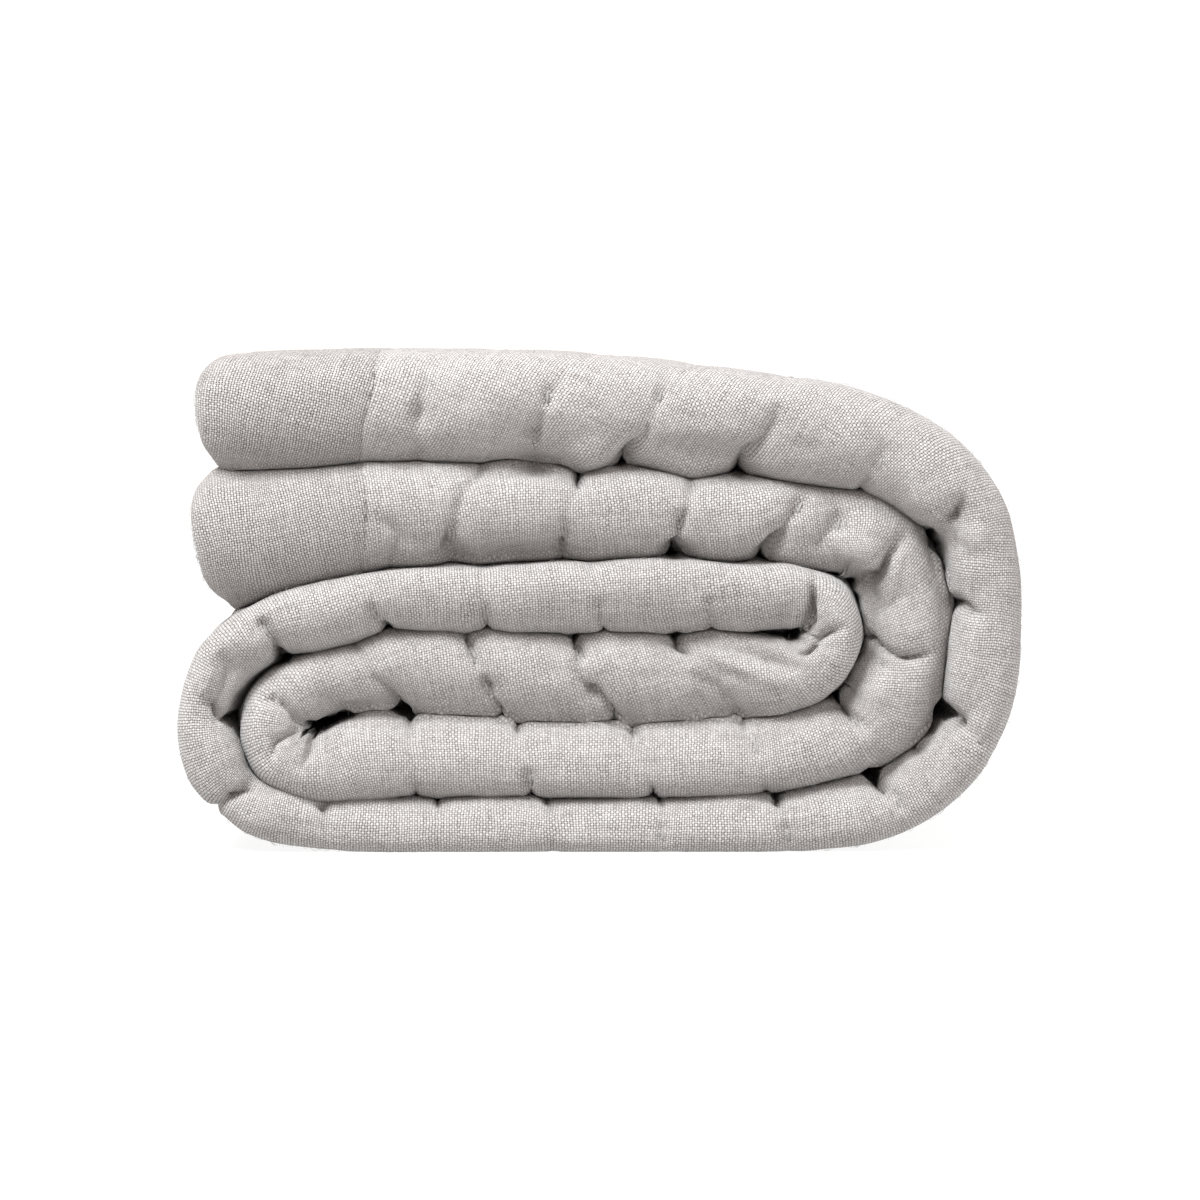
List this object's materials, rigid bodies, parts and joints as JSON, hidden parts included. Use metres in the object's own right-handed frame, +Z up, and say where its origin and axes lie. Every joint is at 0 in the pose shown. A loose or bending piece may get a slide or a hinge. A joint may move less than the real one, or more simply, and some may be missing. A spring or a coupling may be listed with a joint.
{
  "type": "folded linen quilt",
  "caption": "Quilted linen bed cover with plain borders, folded to a thick strip and rolled up loosely into stacked bands.",
  "frame": {"origin": "middle of the footprint, on the surface that the quilt rests on", "axes": "-Y towards the viewer of the smooth folded edges, +X towards the right bend of the roll, +Z up"},
  "size_m": [0.3988, 0.39, 0.2395],
  "materials": {
    "quilted_linen": "washed linen, coarse plain weave, matt",
    "border_linen": "washed linen, coarse plain weave, matt"
  },
  "bodies": {
    "root": {"quilted_body": "quilted_linen", "border_top": "border_linen", "border_under": "border_linen"}
  },
  "joints": []
}
